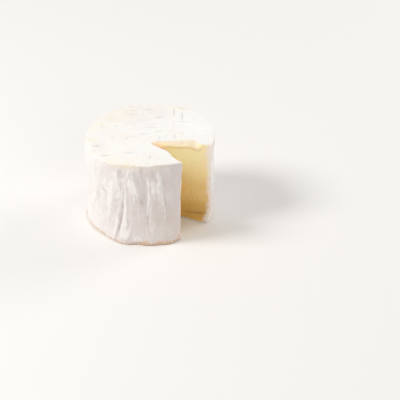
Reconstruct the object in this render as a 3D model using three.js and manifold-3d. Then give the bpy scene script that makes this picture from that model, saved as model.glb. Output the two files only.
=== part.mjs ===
// Tall triple-cream cheese with a white bloomy rind and one wedge cut out of it.
// Millimetres, +Z up. The origin is on the wheel's axis, at the flat face it rests on.
// Angles are degrees about +Z from +X; the cut opens between -4 and -51 degrees.
import * as THREE from 'three';
import { mergeVertices } from 'three/addons/utils/BufferGeometryUtils.js';
import Module from 'manifold-3d';

// The wheel
const WHEEL_RADIUS = 40.3;
const WHEEL_HEIGHT = 53.8;
const RIM_ROUND = 1.4;
const FOOT_ROUND = 1.7;
const SEGMENTS = 168;
const LEAN = 0.9;
const LEAN_HEADING = 75;

// Divisions of the profile that is turned into the wheel
const UNDERSIDE_RINGS = 3;
const FOOT_STEPS = 3;
const WALL_STEPS = 15;
const RIM_STEPS = 4;
const TOP_RINGS = 7;

// The cut: where its two faces meet, and which way each runs
const CUT_APEX = new THREE.Vector2(1.0, -8.8);
const FAR_HEADING = -4.3;
const NEAR_HEADING = -51;
const CUT_REACH = 60;
const CUT_FACE_LENGTH = 36;
const CUT_COLUMNS = 18;
const CUT_LEVELS = 26;
const CUT_OVERRUN = 4;

// On the far face: the torn ledge under the top rind, its lip, and the soft foot that has spread
const LEDGE_LEVEL = 52.2;
const LEDGE_DEPTH = 7.8;
const LIP_OUT = 0.5;
const FAR_FOOT_OUT = 3.9;
const FAR_FOOT_LEVEL = 5.4;
const FAR_HOLLOW = -1.4;

// On the near face: how far it leans back at the bottom of its outer edge, and its small foot
const NEAR_LEAN = -3.9;
const NEAR_FOOT_OUT = 1.6;

// Colour and surface
const RIND_COLOUR = '#efeae2';
const RIND_ROUGHNESS = 0.9;

// A fold narrower than this would fall between the wheel's facets
const NARROWEST_FOLD = 1.6;

// Slow swells of the wall: place, spread along and up the wall, and how far out
const WALL_SWELLS = [
  { angle: 178, level: 17, turn: 52, rise: 16, out: -1.5 },
  { angle: -168, level: 0, turn: 24, rise: 4, out: 0.5 },
  { angle: -4, level: 42, turn: 30, rise: 11, out: -1.4 },
  { angle: 0, level: 20, turn: 30, rise: 14, out: -1.1 },
  { angle: -6, level: 0, turn: 30, rise: 8, out: -1.4 },
  { angle: -113, level: 0, turn: 14, rise: 8, out: 2.7 },
  { angle: -100, level: 0, turn: 4, rise: 4, out: -1.3 },
  { angle: -88, level: 0, turn: 13, rise: 8, out: 1.5 },
  { angle: -71, level: 0, turn: 7, rise: 6, out: 1.5 },
  { angle: -62, level: 0, turn: 6, rise: 5, out: -0.8 },
  { angle: 38, level: 52, turn: 32, rise: 18, out: 1.2 },
  { angle: 120, level: 4, turn: 34, rise: 9, out: 0.7 },
  { angle: 44, level: 22, turn: 26, rise: 12, out: -0.6 },
];

// Slow swells of the top face, which sinks at the near left and lifts beside the cut
const TOP_SWELLS = [
  { x: 9, y: -34, spread: 13, up: 1.4 },
  { x: -6, y: -38, spread: 11, up: 0.6 },
  { x: -30, y: -24, spread: 14, up: -1.5 },
  { x: 14, y: 30, spread: 18, up: 0.3 },
  { x: -6, y: 4, spread: 18, up: -0.5 },
  { x: -34, y: 12, spread: 13, up: -0.6 },
];

// Folds of the rind: from upper to lower end, width of each flank, and height
const FOLDS = [
  { from: [-119, 46], to: [-129, 12], left: 1.8, right: 1.4, out: 0.75 },
  { from: [-117, 52], to: [-117, 43], left: 2.4, right: 0.7, out: 0.7 },
  { from: [-105, 49], to: [-96, 35], left: 3.8, right: 0.9, out: 1.0 },
  { from: [-93, 46], to: [-90, 13], left: 1.9, right: 1.0, out: -0.9 },
  { from: [-80.5, 53], to: [-75.5, 14], left: 1.5, right: 0.9, out: 0.85 },
  { from: [-111.8, 33], to: [-118.4, 2], left: 0.9, right: 0.8, out: -1.0 },
  { from: [-138, 34], to: [-149, 16], left: 1.3, right: 1.5, out: 0.6 },
  { from: [-133, 33], to: [-126, 31], left: 1.0, right: 1.0, out: -0.6 },
  { from: [-120, 31], to: [-117, 20], left: 1.2, right: 1.2, out: -0.7 },
  { from: [-86, 30], to: [-84, 8], left: 2.6, right: 1.4, out: 0.5 },
];

// The folds on the rest of the wall are drawn by this seed
const SEED = 20261;
const DRAWN_FOLDS = 46;
const DRAWN_ARC = { start: -60, turn: 270 };

const DEGREE = Math.PI / 180;
const WELD_DISTANCE = 1e-3;
const ON_FACE_DISTANCE = 0.01;

const wasm = await Module();
wasm.setup();

// 0 below the first bound, 1 above the second and smooth between them.
const reach = THREE.MathUtils.smoothstep;

function bell(distance, spread) {
  return Math.exp(-((distance / spread) ** 2));
}

// Turns one direction into another's nearest signed difference, in degrees.
function turnBetween(angle, other) {
  return ((angle - other + 540) % 360 + 360) % 360 - 180;
}

// A repeatable stream of numbers from 0 to 1.
function numbersFrom(seed) {
  let state = seed >>> 0;
  return () => {
    state = (Math.imul(state, 1664525) + 1013904223) >>> 0;
    return state / 4294967296;
  };
}

function drawFolds() {
  const draw = numbersFrom(SEED);
  const between = (low, high) => low + (high - low) * draw();
  const folds = [];
  for (let i = 0; i < DRAWN_FOLDS; i += 1) {
    const angle = DRAWN_ARC.start + (DRAWN_ARC.turn * (i + draw())) / DRAWN_FOLDS;
    const upper = between(24, 52);
    const lower = Math.max(2, upper - between(12, 42));
    const lean = between(-0.28, 0.28) * (upper - lower);
    folds.push({
      from: [angle, upper],
      to: [angle + lean, lower],
      left: between(0.7, 3.2),
      right: between(0.7, 3.2),
      out: between(0.3, 0.75) * (draw() < 0.4 ? -1 : 1),
    });
  }
  return folds;
}

const ALL_FOLDS = [...FOLDS, ...drawFolds()];

// How far one fold lifts the wall at a place, fading out past its two ends.
function foldLift(fold, angle, level) {
  const [upperAngle, upper] = fold.from;
  const [lowerAngle, lower] = fold.to;
  const share = (upper - level) / Math.max(upper - lower, 1);
  const run = THREE.MathUtils.clamp(share, 0, 1);
  const past = Math.abs(share - run) * Math.max(upper - lower, 1);
  const middle = upperAngle + turnBetween(lowerAngle, upperAngle) * run;
  const across = turnBetween(angle, middle) * DEGREE * WHEEL_RADIUS;
  const flank = Math.max(across < 0 ? fold.left : fold.right, NARROWEST_FOLD);
  const ends = Math.sin(Math.PI * THREE.MathUtils.clamp(run, 0.12, 0.88));
  return fold.out * bell(across, flank) * bell(past, 3) * ends;
}

// How far the wall stands out from its mean radius.
function wallShift(angle, level) {
  let shift = LEAN * Math.cos((angle - LEAN_HEADING) * DEGREE) * (level / WHEEL_HEIGHT);
  shift += 0.2 * Math.cos(3 * (angle + 20) * DEGREE);
  for (const swell of WALL_SWELLS) {
    const near = bell(turnBetween(angle, swell.angle), swell.turn);
    shift += swell.out * near * bell(level - swell.level, swell.rise);
  }
  for (const fold of ALL_FOLDS) shift += foldLift(fold, angle, level);
  return shift;
}

// How far the top face stands above its mean height.
function topShift(x, y) {
  let shift = 0;
  for (const swell of TOP_SWELLS) shift += swell.up * bell(Math.hypot(x - swell.x, y - swell.y), swell.spread);
  return shift;
}

// The rim's edge slumps most at the left, and hardly at all beside the cut.
function rimSlump(angle, fromRim) {
  const soft = 0.12 + 0.5 * bell(turnBetween(angle, -170), 42);
  const ragged = 0.13 * Math.sin(11 * angle * DEGREE + 1.3) + 0.1 * Math.sin(19 * angle * DEGREE);
  return (soft + ragged) * bell(fromRim, 2.6);
}

// Moves a point of the plain turned wheel to its place on the real, uneven one.
function unevenWheel(point) {
  const radius = Math.hypot(point.x, point.y);
  const angle = Math.atan2(point.y, point.x) / DEGREE;
  const outward = reach(radius, 0.5 * WHEEL_RADIUS, WHEEL_RADIUS - FOOT_ROUND);
  const upward = reach(point.z, FOOT_ROUND, WHEEL_HEIGHT - RIM_ROUND);
  const slump = rimSlump(angle, Math.hypot(WHEEL_RADIUS - radius, WHEEL_HEIGHT - point.z));
  const shifted = radius + wallShift(angle, point.z) * outward - slump;
  const scale = radius > 0 ? shifted / radius : 1;
  const lifted = point.z + topShift(point.x, point.y) * upward - slump;
  return new THREE.Vector3(point.x * scale, point.y * scale, lifted);
}

// The level of the crease under the torn ledge. It dips, then climbs to meet the top rind.
function creaseLevel(along) {
  const dip = 0.4 * reach(along, 8, 18) + 1.9 * reach(along, 22, 29);
  return LEDGE_LEVEL - dip + 3.8 * reach(along, 29.5, 33);
}

// How far the far face of the cut bulges into the opening. Near the top the rind has torn
// away to a sloping ledge with a lip, and at the bottom the soft foot has spread.
function farFaceBulge(along, level) {
  const crease = creaseLevel(along);
  const ledge = LEDGE_DEPTH * reach(along, -2, 6.5) * (1 - reach(along, 25, 30.5));
  const share = THREE.MathUtils.clamp((level - crease) / (WHEEL_HEIGHT + 0.6 - crease), 0, 1.3);
  const lip = LIP_OUT * bell(level - crease - 0.3, 0.9) * reach(along, 3, 8) * (1 - reach(along, 20, 28));
  const foot = FAR_FOOT_OUT * reach(along, 18, 30) * (1 - reach(level, 2, FAR_FOOT_LEVEL));
  const hollow = FAR_HOLLOW * bell(along - 16, 6) * (1 - reach(level, 0, 4));
  const wave = 0.3 * Math.sin(along / 5.2 + level / 9) + 0.15 * Math.sin(level / 2.9 + along / 7);
  return lip - ledge * share + foot + hollow + wave * reach(along, 0, 6);
}

// The same for the near face, which leans back towards the bottom and has a small foot.
function nearFaceBulge(along, level) {
  const lean = NEAR_LEAN * (along / CUT_FACE_LENGTH) * (1 - level / WHEEL_HEIGHT) ** 0.8;
  const foot = NEAR_FOOT_OUT * reach(along, 14, 30) * bell(level - 2, 2.4);
  const topEdge = (1.1 * bell(along - 14.5, 6) - 0.9 * bell(along - 26, 5)) * reach(level, 38, 54);
  const wave = 0.3 * Math.sin(along / 4.6 + 1 + level / 11);
  return lean + foot + topEdge + wave * reach(along, 0, 6);
}

// The wheel's half section, from the middle of the underside round to the middle of the top.
function wheelProfile() {
  const foot = new THREE.Vector2(WHEEL_RADIUS - FOOT_ROUND, FOOT_ROUND);
  const rim = new THREE.Vector2(WHEEL_RADIUS - RIM_ROUND, WHEEL_HEIGHT - RIM_ROUND);
  const quarter = Math.PI / 2;
  const stretches = [
    [new THREE.LineCurve(new THREE.Vector2(0, 0), new THREE.Vector2(foot.x, 0)), UNDERSIDE_RINGS],
    [new THREE.EllipseCurve(foot.x, foot.y, FOOT_ROUND, FOOT_ROUND, -quarter, 0), FOOT_STEPS],
    [
      new THREE.LineCurve(new THREE.Vector2(WHEEL_RADIUS, foot.y), new THREE.Vector2(WHEEL_RADIUS, rim.y)),
      WALL_STEPS,
    ],
    [new THREE.EllipseCurve(rim.x, rim.y, RIM_ROUND, RIM_ROUND, 0, quarter), RIM_STEPS],
    [
      new THREE.LineCurve(new THREE.Vector2(rim.x, WHEEL_HEIGHT), new THREE.Vector2(0, WHEEL_HEIGHT)),
      TOP_RINGS,
    ],
  ];
  const points = [];
  for (const [curve, divisions] of stretches) {
    points.push(...curve.getPoints(divisions).slice(points.length ? 1 : 0));
  }
  points[0].x = 0;
  points[points.length - 1].x = 0;
  return points;
}

// Leaves a geometry with its positions alone, its shared vertices merged.
function weld(geometry) {
  const bare = new THREE.BufferGeometry();
  const source = geometry.index ? geometry.toNonIndexed() : geometry;
  bare.setAttribute('position', source.getAttribute('position'));
  return mergeVertices(bare, WELD_DISTANCE);
}

// Moves every vertex by a rule from its place to its new place.
function reshape(geometry, rule) {
  const position = geometry.getAttribute('position');
  const point = new THREE.Vector3();
  for (let i = 0; i < position.count; i += 1) {
    const moved = rule(point.fromBufferAttribute(position, i));
    position.setXYZ(i, moved.x, moved.y, moved.z);
  }
  return geometry;
}

function solidFrom(geometry) {
  const index = geometry.index.array;
  const corners = [];
  for (let i = 0; i < index.length; i += 3) {
    const [a, b, c] = index.slice(i, i + 3);
    if (a !== b && b !== c && c !== a) corners.push(a, b, c);
  }
  return new wasm.Manifold(new wasm.Mesh({
    numProp: 3,
    vertProperties: geometry.getAttribute('position').array,
    triVerts: new Uint32Array(corners),
  }));
}

function wheelSolid() {
  const turned = new THREE.LatheGeometry(wheelProfile(), SEGMENTS);
  turned.rotateX(Math.PI / 2);
  return solidFrom(reshape(weld(turned), unevenWheel));
}

// A unit vector in the level plane.
function heading(angle) {
  return new THREE.Vector2(Math.cos(angle * DEGREE), Math.sin(angle * DEGREE));
}

// How far from the apex a column of the cut's faces stands. They are closest at the apex.
function alongColumn(column) {
  return CUT_FACE_LENGTH * (column / CUT_COLUMNS) ** 1.25;
}

// The wedge that the knife takes out: a level outline raised in steps, both faces then shaped.
function wedgeSolid() {
  const far = heading(FAR_HEADING);
  const near = heading(NEAR_HEADING);
  const outline = [CUT_APEX.clone()];
  for (let i = 1; i <= CUT_COLUMNS; i += 1) {
    outline.push(CUT_APEX.clone().addScaledVector(near, alongColumn(i)));
  }
  outline.push(CUT_APEX.clone().addScaledVector(near, CUT_REACH));
  outline.push(CUT_APEX.clone().addScaledVector(far, CUT_REACH));
  for (let i = CUT_COLUMNS; i >= 1; i -= 1) {
    outline.push(CUT_APEX.clone().addScaledVector(far, alongColumn(i)));
  }
  const depth = WHEEL_HEIGHT + 2 * CUT_OVERRUN;
  const raised = new THREE.ExtrudeGeometry(new THREE.Shape(outline), {
    depth,
    steps: CUT_LEVELS,
    bevelEnabled: false,
  });
  const farInward = heading(FAR_HEADING - 90);
  const nearInward = heading(NEAR_HEADING + 90);
  return solidFrom(reshape(weld(raised), (point) => {
    // the levels stand closer together towards both ends, where the foot and the ledge are
    const share = point.z / depth;
    const level = depth * (share - 0.12 * Math.sin(2 * Math.PI * share)) - CUT_OVERRUN;
    const offset = new THREE.Vector2(point.x, point.y).sub(CUT_APEX);
    const onFar = Math.abs(offset.cross(far)) < ON_FACE_DISTANCE;
    const onNear = Math.abs(offset.cross(near)) < ON_FACE_DISTANCE;
    const along = Math.min(offset.length(), CUT_FACE_LENGTH);
    const moved = new THREE.Vector3(point.x, point.y, level);
    const held = THREE.MathUtils.clamp(level, 0, WHEEL_HEIGHT);
    if (onFar && !onNear) {
      const bulge = farFaceBulge(along, held);
      moved.x += farInward.x * bulge;
      moved.y += farInward.y * bulge;
    } else if (onNear && !onFar) {
      const bulge = nearFaceBulge(along, held);
      moved.x += nearInward.x * bulge;
      moved.y += nearInward.y * bulge;
    }
    return moved;
  }));
}

function geometryFrom(solid) {
  const { vertProperties, triVerts } = solid.getMesh();
  const geometry = new THREE.BufferGeometry();
  geometry.setAttribute('position', new THREE.BufferAttribute(vertProperties, 3));
  geometry.setIndex(new THREE.BufferAttribute(triVerts, 1));
  geometry.computeVertexNormals();
  return geometry;
}

function makeCheese() {
  const rind = new THREE.MeshStandardMaterial({
    color: RIND_COLOUR,
    roughness: RIND_ROUGHNESS,
    metalness: 0,
  });
  const cheese = new THREE.Mesh(geometryFrom(wheelSolid().subtract(wedgeSolid())), rind);
  cheese.name = 'cheese';
  return cheese;
}

const model = new THREE.Group();
model.add(makeCheese());

export default model;
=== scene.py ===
"""A tall triple-cream cheese in a white bloomy rind, with one wedge cut out of it."""
import math

import bmesh
import bpy
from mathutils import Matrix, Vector, noise


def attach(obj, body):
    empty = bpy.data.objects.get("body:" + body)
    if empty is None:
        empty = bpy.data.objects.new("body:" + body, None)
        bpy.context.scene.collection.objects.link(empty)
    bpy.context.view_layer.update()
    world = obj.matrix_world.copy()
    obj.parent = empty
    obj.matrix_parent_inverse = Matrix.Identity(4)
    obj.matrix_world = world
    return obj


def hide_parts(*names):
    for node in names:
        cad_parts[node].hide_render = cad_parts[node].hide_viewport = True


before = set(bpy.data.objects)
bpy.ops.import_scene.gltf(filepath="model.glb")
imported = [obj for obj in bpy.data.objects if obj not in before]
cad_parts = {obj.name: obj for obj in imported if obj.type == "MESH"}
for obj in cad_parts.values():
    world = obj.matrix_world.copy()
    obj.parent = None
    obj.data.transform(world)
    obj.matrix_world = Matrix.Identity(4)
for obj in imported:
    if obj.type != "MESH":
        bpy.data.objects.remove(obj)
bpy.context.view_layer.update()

# The shaping below is in millimetres and degrees about +Z from +X. Meshes are scaled to metres last.
MM = 0.001

# The wheel, which leans a little towards one heading and is slightly three-sided
WHEEL_RADIUS = 40.3
WHEEL_HEIGHT = 53.8
RIM_ROUND = 1.4
FOOT_ROUND = 1.7
LEAN = 0.9
LEAN_HEADING = 75.0
LOBES = 3
LOBE_OUT = 0.2
LOBE_TURN = 20

# How finely the plain wheel is drawn, and the even little squares that its surface is rebuilt in
TURN_STEPS = 320
ROUND_STEPS = 5
PROFILE_STEP = 0.9
TOP_STEP = 1.5
UNDERSIDE_STEP = 3
GRAIN_SIZE = 0.57
SMOOTHING = 0.5
MERGE_DISTANCE = 1e-4

# How the rim has slumped: all round, more towards one heading, and in waves (count, phase, size).
# A finished point's depth takes a few rounds to find, because its slump depends on it.
RIM_SLUMP = 0.12
RIM_SLUMP_WIDE = 2.6
SLUMPED_HEADING = -170
SLUMPED_TURN = 42
SLUMPED_MORE = 0.5
SLUMP_ROUNDS = 3
RIM_WAVES = [(11, 1.3, 0.13), (19, 0.0, 0.1)]

# The cut: where its two faces meet, and which way each runs
CUT_APEX = Vector((1.0, -8.8))
FAR_HEADING = -4.3
NEAR_HEADING = -51.0
CUT_REACH = 60.0
CUT_FACE_LENGTH = 36.0
CUT_OVERRUN = 4.0
CUT_STEP = 0.75

# A pair whose name ends in FROM says where along the cut a form begins and where it is full, one
# that ends in TO where it begins to fade and where it is gone, and one in LEVELS gives two heights.

# On the far face: the torn ledge under the top rind, the crease under it, which dips in steps and
# then climbs to meet the rind, the ledge's lip, and the soft foot that has spread
LEDGE_LEVEL = 52.2
LEDGE_DEPTH = 7.8
LEDGE_FROM = (-2, 6.5)
LEDGE_TO = (25, 30.5)
LEDGE_TOP = WHEEL_HEIGHT + 0.6
LEDGE_MOST = 1.3
CREASE_DIPS = [(8, 18, 0.4), (22, 29, 1.9)]
CREASE_CLIMB = (29.5, 33, 3.8)
LIP_OUT = 0.5
LIP_RISE = 0.3
LIP_TALL = 0.9
LIP_FROM = (3, 8)
LIP_TO = (20, 28)
FAR_FOOT_OUT = 3.9
FAR_FOOT_FROM = (18, 30)
FAR_FOOT_LEVELS = (2, 5.4)
FAR_HOLLOW = -1.4
FAR_HOLLOW_AT = 16
FAR_HOLLOW_WIDE = 6
FAR_HOLLOW_LEVELS = (0, 4)

# On the near face: how far it leans back at the bottom of its outer edge, its small foot, and the
# swells of its top edge (how far along, spread, how far out)
NEAR_LEAN = -3.9
NEAR_LEAN_POWER = 0.8
NEAR_FOOT_OUT = 1.6
NEAR_FOOT_FROM = (14, 30)
NEAR_FOOT_LEVEL = 2
NEAR_FOOT_TALL = 2.4
NEAR_EDGE_SWELLS = [(14.5, 6, 1.1), (26, 5, -0.9)]
NEAR_EDGE_LEVELS = (38, 54)

# Slow waves of the two faces: length along, phase, length up, how far out
FAR_WAVES = [(5.2, 0, 9, 0.3), (7, 0, 2.9, 0.15)]
NEAR_WAVES = [(4.6, 1, 11, 0.3)]
WAVES_FROM = (0, 6)

# Rind thickness as a cut face shows it, where the wall's is thicker (levels, how much), the broken
# line between rind and paste, and how deep in the wheel the paste's finish starts
WALL_RIND = 2.8
TOP_RIND = 0.8
FOOT_RIND = 1.1
THICKER_HIGH = (34, 46, 0.7)
THICKER_LOW = (4, 14, 0.6)
RIND_EDGE = (0.5, 1.45)
RIND_BREAKS = 0.45
RIND_BREAK_SIZE = (3, 3, 2.2)
PASTE_FROM = 0.25
PASTE_BLEND = (0.15, 0.6)

# How far the fine relief is set in, so that its highest places keep to the plain form's size
WALL_INWARD = 0.56
TOP_INWARD = 0.2

# A surface is upright up to the first of these values of its normal's z, and level from the second
LYING = (0.45, 0.8)

# Slow swells of the wall: angle, level, spread along, spread up, how far out
WALL_SWELLS = [
    (178, 17, 52, 16, -1.5),
    (-168, 0, 24, 4, 0.5),
    (-4, 42, 30, 11, -1.4),
    (0, 20, 30, 14, -1.1),
    (-6, 0, 30, 8, -1.4),
    (-113, 0, 14, 8, 2.7),
    (-100, 0, 4, 4, -1.3),
    (-88, 0, 13, 8, 1.5),
    (-71, 0, 7, 6, 1.5),
    (-62, 0, 6, 5, -0.8),
    (38, 52, 32, 18, 1.2),
    (120, 4, 34, 9, 0.7),
    (44, 22, 26, 12, -0.6),
]

# Slow swells of the top face: x, y, spread, how far up
TOP_SWELLS = [
    (9, -34, 13, 1.4),
    (-6, -38, 11, 0.6),
    (-30, -24, 14, -1.5),
    (14, 30, 18, 0.3),
    (-6, 4, 18, -0.5),
    (-34, 12, 13, -0.6),
]

# Folds of the rind: upper angle and level, lower angle and level, width of each flank, how far out
FOLDS = [
    (-119, 46, -129, 12, 1.8, 1.4, 0.75),
    (-117, 52, -117, 43, 2.4, 0.7, 0.7),
    (-105, 49, -96, 35, 3.8, 0.9, 1.0),
    (-93, 46, -90, 13, 1.9, 1.0, -0.9),
    (-80.5, 53, -75.5, 14, 1.5, 0.9, 0.85),
    (-111.8, 33, -118.4, 2, 0.9, 0.8, -1.0),
    (-138, 34, -149, 16, 1.3, 1.5, 0.6),
    (-133, 33, -126, 31, 1.0, 1.0, -0.6),
    (-120, 31, -117, 20, 1.2, 1.2, -0.7),
    (-86, 30, -84, 8, 2.6, 1.4, 0.5),
]

# How full a fold is at its two ends, how it fades past them, and how many flanks away it counts
FOLD_ENDS = 0.12
FOLD_FADE = 3
FOLD_NEAR = 3

# More folds, drawn on the sides and the back: upper level, length, lean, flanks, how far out, and
# the share of them that are furrows
SEED = 20261
DRAWN_FOLDS = 46
DRAWN_START = -60.0
DRAWN_TURN = 270.0
DRAWN_UPPER = (24, 52)
DRAWN_LENGTH = (12, 42)
DRAWN_LEAN = (-0.28, 0.28)
DRAWN_FLANK = (0.7, 3.2)
DRAWN_OUT = (0.3, 0.75)
DRAWN_FURROWS = 0.4
LOWEST_FOLD = 2

# Tongues of thick white bloom on the front, written as folds are, the last number how thick
TONGUES = [
    (-121, 46.5, -131, 10, 3.0, 3.0, 1.0),
    (-117, 44, -118, 26, 2.0, 1.5, 0.6),
    (-106, 48, -99, 31, 5.0, 1.5, 0.65),
    (-112, 41, -112, 14, 1.4, 1.4, 0.5),
    (-89.8, 46, -91.3, 10, 0.7, 0.7, 0.45),
    (-84.8, 45.5, -85.0, 33, 3.5, 3.8, 0.6),
    (-81.4, 52, -80.6, 43, 0.7, 0.7, 0.5),
    (-78.6, 47, -75.3, 18, 0.8, 0.6, 0.9),
    (-118, 21, -122, 1, 1.8, 1.8, 0.6),
    (-110.3, 12, -110.8, 1, 2.3, 2.4, 0.65),
    (-111.2, 24, -114.6, 6, 1.0, 1.2, 0.5),
    (-99.5, 8, -99.5, 1, 2.4, 2.6, 0.55),
]

# The front, where the bloom is placed one by one, and how far from its middle it gives way
FRONT_HEADING = -92.0
FRONT_EDGE = (28, 44)

# Narrow creases and pits in the front's rind, written the same way, the last number how dark. Their
#  darkening of the colour is painted shade, and the two widest are only painted shade patches.
CREASES = [
    (-112.3, 34, -114.2, 20, 0.5, 0.5, 0.8),
    (-113.9, 22, -119.4, 1, 0.45, 0.45, 1.1),
    (-92.8, 47, -93.6, 28, 2.2, 0.5, 0.1),
    (-95.9, 30.0, -95.5, 28.6, 1.3, 1.0, 1.5),
    (-96.2, 51.3, -95.8, 50.0, 1.3, 1.1, 0.9),
    (-115.7, 50.5, -116.3, 45.5, 0.5, 0.5, 0.4),
    (-136.2, 33.6, -130.4, 31.0, 0.9, 0.9, 1.1),
    (-138.9, 33, -150.9, 15, 0.8, 0.6, 1.0),
    (-90.9, 27, -91.0, 13, 0.3, 0.6, 0.7),
    (-79.0, 50, -74.6, 18, 0.4, 0.9, 0.5),
    (-121, 42, -124, 30, 0.5, 0.8, 0.4),
    (-104.0, 33.5, -103.2, 31.8, 1.4, 1.4, 0.4),
    (-121, 51.5, -117, 46, 5.0, 4.0, 0.25),
    (-72, 20, -72, 15, 4.5, 3.5, 0.35),
]

# The side towards the window lamp, given the thick bloom's white all over as painted light
LIT_SIDE_HEADING = -172.0
LIT_SIDE_TURN = 36.0
LIT_SIDE_MUCH = 1.5

# Tints of the top face: x, y, spread, how strong
YELLOWED = [
    (-20, 29, 8, 1.0), (-32, 14, 6, 0.7), (14, 35, 5, 0.8), (-36, -4, 5, 0.6),
    (-25, -27, 8, 0.5), (-12, -35, 7, 0.6), (3, -36, 6, 0.4), (-23, 20, 6, 0.15),
]
DUSKY = [
    (-8, 20, 9, 0.8), (5, 29, 7, 0.7), (-31, -12, 5, 0.7), (-18, -2, 7, 0.4), (-14, 31, 6, 0.6),
    (-29, 5, 5, 0.5), (2, -25, 6, 0.3), (-17, 33, 7, 0.6), (-3, 36, 7, 0.7), (-24, 23, 7, 0.9),
]
BLANCHED = [(30, 8, 9, 1.0), (21, 17, 7, 0.5)]
TINT_LEVELS = (49, 53)
TINT_MEAN = 0.85

# Dents that the draining mat left on the top: x, y, half length along x, half length along y, depth
MAT_MARKS = [
    (-31.9, -11.4, 2.4, 0.6, 0.4),
    (-26.4, -21.8, 3.6, 0.5, 0.35),
    (-12.1, -20.8, 3.4, 0.5, 0.35),
    (5.8, 23.0, 4.6, 0.6, 0.3),
    (-3.8, 2.6, 4.2, 0.5, 0.25),
    (5.2, 5.5, 3.6, 0.5, 0.25),
    (14.5, 29.5, 0.6, 4.6, 0.35),
    (19.6, 24.0, 0.6, 5.0, 0.35),
    (15.4, -1.0, 0.5, 2.7, 0.3),
    (-12.0, 26.9, 2.6, 0.5, 0.3),
    (14.5, 16.1, 0.9, 0.8, 0.3),
    (0.8, -27.6, 0.8, 1.3, 0.45),
    (-11.3, 32.1, 0.9, 0.7, 0.3),
    (19.6, 2.6, 0.9, 0.6, 0.3),
    (-22.3, -1.2, 0.8, 0.6, 0.35),
    (-13.8, -3.1, 0.8, 0.6, 0.35),
]

# How dark a dent looks for its depth, and how many times its own size away it counts
MARK_DARK = 3
MARK_NEAR = 2.5

# More dents, drawn all over: the limits of their places, half lengths and depths
DRAWN_MARKS = 26
MARK_SEED = SEED + 7
MARK_PLACE = (-36, 36)
MARK_LONG = (1.2, 4.2)
MARK_WIDE = 0.5
MARK_DEEP = (0.1, 0.26)

# Places where the bloom is thin and the tan skin shows: angle, level, spread along, spread up, how
# much. It fades on the top and the underside, as far in from the wall as BARE_IN says.
BARE_PATCHES = [
    (-76, 14, 16, 11, 0.35),
    (-60.5, 1.5, 4.5, 3.4, 1.5),
    (-70, 0, 12, 1.2, 0.7),
    (-99, 0, 7, 1.3, 0.8),
    (-146, 1, 16, 2.0, 0.5),
    (-74.2, 19, 1.6, 1.3, 0.5),
    (-96.2, 51.1, 1.6, 0.6, 0.5),
    (61.5, 54, 4, 1.5, 0.9),
    (-96, 28.8, 1.5, 0.6, 0.45),
]
BARE_IN = (2.0, 4.5)

# The same along the rim, in a narrow line just below the top: angle, spread along, how much
RIM_TANS = [(-108, 8, 1.6), (-124, 9, 0.6), (-82, 5, 0.5), (146, 24, 0.8), (64, 7, 1.4)]
RIM_LINE_DEPTH = 0.9
RIM_LINE_TALL = 1.1
RIM_LINE_IN = (0.8, 2.4)

# And faintly all round the rim, where a pattern lets it
RIM_BARE = 0.45
RIM_BARE_LEVEL = 53.5
RIM_BARE_TALL = 1.6
RIM_BARE_EDGE = (0.1, 0.5)

# The foot's tan line, and how much taller and darker it is towards one heading
FOOT_TAN_HEADING = -84
FOOT_TAN_TURN = 24
FOOT_TAN_TALL = 2.3
FOOT_TAN_TALLER = 1.8
FOOT_TAN_DARK = 0.8
FOOT_TAN_DARKER = 0.5
FOOT_TAN_SOLID = 0.3
FOOT_TAN_ROW = 0.4

# The speckle of all the tan skin, as a mean, a swing and a size
SPECKLE_MEAN = 0.7
SPECKLE_SWING = 1.3
SPECKLE_SIZE = 1.5

# Patterns over a surface: size along it, size up it, slice of the noise, how much it counts. One
# that changes along the wall only is read at the level that its ROW gives.
TONGUE = (5.6, 17, 3.7, 1.0)
RAGGED = (1.7, 4.5, 9.1, 1.0)
BLOOM_TOP_WANDER = (3.0, 1.0, 6.3, 5.0)
CRACK = (5.2, 19, 12.6, 2.0)
FINE_CREASE = (6, 9, 15.2, 1.0)
TINT_BREAKS = (4.8, 3.6, 17.3, 0.8)
RIM_BREAKS = (6, 2, 2.6, 1.0)
FOOT_TAN_BREAKS = (7, 1, 7.7, 0.6)
WRINKLE = (4.2, 17, 1.3, 2.0)
WALL_GRAIN = [(1.2, 3.6, 5.9, 0.1), (4.6, 5.2, 8.4, 0.18)]
TOP_GRAIN = [(9, 9, 2.2, 0.2), (9, 2.1, 4.8, 0.1), (2.3, 11, 7.6, 0.07), (1.1, 1.1, 1.9, 0.06)]
CUT_GRAIN = [(0.9, 19, 3.3, 0.05), (13, 1.7, 6.1, 0.06), (1.0, 1.0, 8.8, 0.04)]
PITS = (1.6, 1.5, 4.4, 1.0)

# Thick bloom: where it ends against thin, how ragged it is there, and its upper edge near the rim
TONGUE_EDGE = (0.14, 0.42)
TONGUE_RAGGED = 0.4
GROWN_EDGE = (-0.35, 0.55)
GROWN_RAGGED = 0.6
GROWN_ON_FOLDS = 0.55
BLOOM_TOP = 46.0
BLOOM_TOP_ROW = 0.5
BLOOM_TOP_SOFT = 1.2
THINNER_ABOVE = 0.7

# Creases away from the front: in the furrows, and along fine cracks. They are set in, and their
#  darkening of the colour is painted shade.
FURROW_DARK = 0.5
FURROW_EDGE = (0.3, 0.85)
CRACK_DARK = 0.4
CRACK_WIDE = (0.0, 0.09)
CRACKED_WHERE = (0.05, 0.3)

# How high the fine forms stand, or how deep they go
WRINKLE_OUT = 0.22
BLOOM_OUT = 0.32
GROOVE_DEEP = 0.34
PIT_LEAST = 0.42
PIT_DEEP = 1.1

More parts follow.
